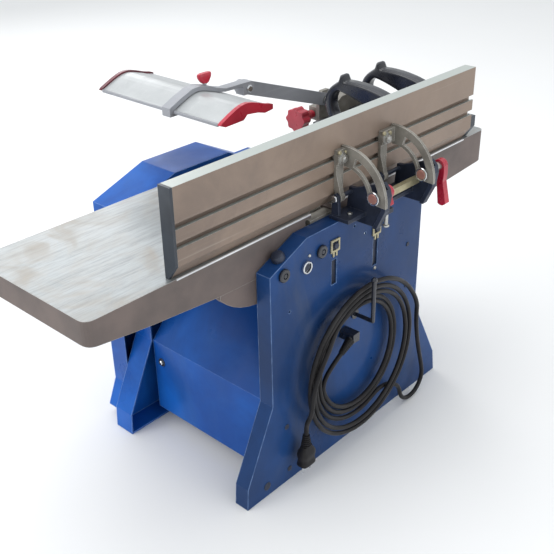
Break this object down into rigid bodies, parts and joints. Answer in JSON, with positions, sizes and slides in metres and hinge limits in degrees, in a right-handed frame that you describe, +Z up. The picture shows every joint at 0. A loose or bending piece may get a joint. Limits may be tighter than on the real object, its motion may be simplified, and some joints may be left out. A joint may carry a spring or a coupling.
{
  "type": "jointer",
  "caption": "Compact woodworking jointer: folded-sheet cabinet, cast tables either side of a cutter block, tilting slotted fence, bridge guard on an arm, push blocks and a coiled mains cord.",
  "frame": {"origin": "on the floor, under the middle of the machine measured without its mains cord", "axes": "+X along the tables in the feed direction, +Y across them towards the operator, away from the fence, +Z up"},
  "size_m": [1.036, 0.5942, 0.69],
  "materials": {
    "blue_paint": "satin baked enamel on folded steel sheet",
    "table_iron": "ground top, bare casting below",
    "grey_casting": "as cast, grey",
    "fence_aluminium": "drawn extrusion with long mill marks",
    "bright_steel": "turned and zinc plated",
    "chrome": "polished",
    "black_casting": "black paint on casting",
    "black_plastic": "semi-gloss moulded",
    "red_plastic": "semi-gloss moulded",
    "green_plastic": "semi-gloss moulded",
    "cord_rubber": "matt to satin"
  },
  "bodies": {
    "cabinet": {"back_panel": "blue_paint", "front_panel": "blue_paint", "belt_cover": "blue_paint", "infeed_apron": "blue_paint", "outfeed_apron": "blue_paint", "chip_chute": "fence_aluminium", "motor_shelf": "blue_paint", "switch_box": "black_plastic", "outfeed_table": "table_iron", "lock_bolt_left": "black_plastic", "lock_bolt_right": "black_plastic", "bearing_back": "grey_casting", "bearing_front": "grey_casting", "drive_belt": "cord_rubber", "motor": "grey_casting", "motor_cradle": "black_casting", "carrier_left": "black_casting", "carrier_right": "black_casting", "clamp_bolt_left": "bright_steel", "clamp_bolt_right": "bright_steel", "tie_bar": "bright_steel", "tilt_stop": "bright_steel", "guard_bracket": "grey_casting", "guard_pivot_pin": "bright_steel", "cord_gland": "black_plastic", "cord_hook": "black_plastic", "cord_lead": "cord_rubber", "cord_coil": "cord_rubber", "cord_loop": "cord_rubber", "cord_tail": "cord_rubber", "cord_plug": "cord_rubber"},
    "start_button": {"start_button": "green_plastic"},
    "stop_button": {"stop_button": "red_plastic"},
    "infeed_table": {"infeed_table": "table_iron"},
    "depth_adjuster": {"depth_adjuster": "chrome"},
    "cutter": {"cutter_block": "bright_steel", "knife_1": "bright_steel", "knife_2": "bright_steel", "cutter_pulley": "grey_casting"},
    "motor_rotor": {"motor_pulley": "grey_casting"},
    "quadrants": {"quadrant_left": "grey_casting", "quadrant_right": "grey_casting", "head_bolt_left": "bright_steel", "head_bolt_right": "bright_steel"},
    "fence": {"fence": "fence_aluminium", "fence_end_cap": "black_plastic", "fence_end_shoe": "black_plastic"},
    "clamp_lever_left": {"clamp_lever_left": "red_plastic"},
    "clamp_lever_right": {"clamp_lever_right": "red_plastic"},
    "guard_arm": {"guard_arm": "fence_aluminium"},
    "guard_head": {"guard_head": "grey_casting", "guard_head_pin": "bright_steel"},
    "wing_knob": {"wing_knob": "red_plastic"},
    "guard_plate": {"guard_plate": "fence_aluminium", "guard_cap_back": "red_plastic", "guard_cap_front": "red_plastic"},
    "height_knob": {"height_knob": "red_plastic"},
    "push_block_1": {"push_block_1": "black_plastic"},
    "push_block_2": {"push_block_2": "black_plastic"}
  },
  "joints": [
    {"name": "infeed_height", "type": "slide", "parent": "cabinet", "child": "infeed_table", "axis": [0, 0, 1], "range_m": [-0.003, 0]},
    {"name": "depth_turn", "type": "hinge", "parent": "cabinet", "child": "depth_adjuster", "pos_m": [-0.098, -0.22345, 0.434], "axis": [0, 1, 0], "range_deg": [0, 90]},
    {"name": "cutter_spin", "type": "hinge", "parent": "cabinet", "child": "cutter", "pos_m": [-0.02, -0.045, 0.47], "axis": [0, 1, 0], "continuous": true},
    {"name": "motor_spin", "type": "hinge", "parent": "cabinet", "child": "motor_rotor", "pos_m": [-0.02, 0.17, 0.17], "axis": [0, 1, 0], "continuous": true},
    {"name": "start_press", "type": "slide", "parent": "cabinet", "child": "start_button", "axis": [0, -1, 0], "range_m": [0, 0.003], "stiffness_N_per_m": 400, "springref_m": -0.002},
    {"name": "stop_press", "type": "slide", "parent": "cabinet", "child": "stop_button", "axis": [0, -1, 0], "range_m": [0, 0.003], "stiffness_N_per_m": 400, "springref_m": -0.002},
    {"name": "fence_tilt", "type": "hinge", "parent": "cabinet", "child": "quadrants", "pos_m": [0.09, -0.20915, 0.524], "axis": [1, 0, 0], "range_deg": [0, 45]},
    {"name": "fence_shift", "type": "slide", "parent": "quadrants", "child": "fence", "axis": [1, 0, 0], "range_m": [-0.08, 0.08]},
    {"name": "clamp_left", "type": "hinge", "parent": "cabinet", "child": "clamp_lever_left", "pos_m": [0.0515, -0.27415, 0.53546], "axis": [1, 0, 0], "range_deg": [-60, 0]},
    {"name": "clamp_right", "type": "hinge", "parent": "cabinet", "child": "clamp_lever_right", "pos_m": [0.2165, -0.27415, 0.53546], "axis": [1, 0, 0], "range_deg": [-90, 30]},
    {"name": "arm_swing", "type": "hinge", "parent": "cabinet", "child": "guard_arm", "pos_m": [0.35, 0.10885, 0.551], "axis": [0, 1, 0], "range_deg": [-24, 12]},
    {"name": "guard_level", "type": "hinge", "parent": "guard_arm", "child": "guard_head", "pos_m": [0.091, 0.10885, 0.6385], "axis": [0, 1, 0], "range_deg": [-12, 24]},
    {"name": "wing_turn", "type": "hinge", "parent": "guard_head", "child": "wing_knob", "pos_m": [-0.014, 0.09465, 0.68], "axis": [0, 0, 1], "range_deg": [-180, 180]},
    {"name": "plate_slide", "type": "slide", "parent": "guard_head", "child": "guard_plate", "axis": [0, 1, 0], "range_m": [-0.13, 0.1]},
    {"name": "height_turn", "type": "hinge", "parent": "cabinet", "child": "height_knob", "pos_m": [0.3, 0.14985, 0.508], "axis": [1, 0, 0], "range_deg": [-360, 180]},
    {"name": "block_1_lift", "type": "slide", "parent": "cabinet", "child": "push_block_1", "axis": [0, 0, 1], "range_m": [0, 0.15]},
    {"name": "block_2_lift", "type": "slide", "parent": "cabinet", "child": "push_block_2", "axis": [0, 0, 1], "range_m": [0, 0.15]}
  ],
  "couplings": [
    {"joint": "depth_turn", "follows": "infeed_height", "rad_per_m": -523},
    {"joint": "motor_spin", "follows": "cutter_spin", "ratio": 0.66667},
    {"joint": "guard_level", "follows": "arm_swing", "ratio": -1},
    {"joint": "height_turn", "follows": "arm_swing", "ratio": 15}
  ]
}
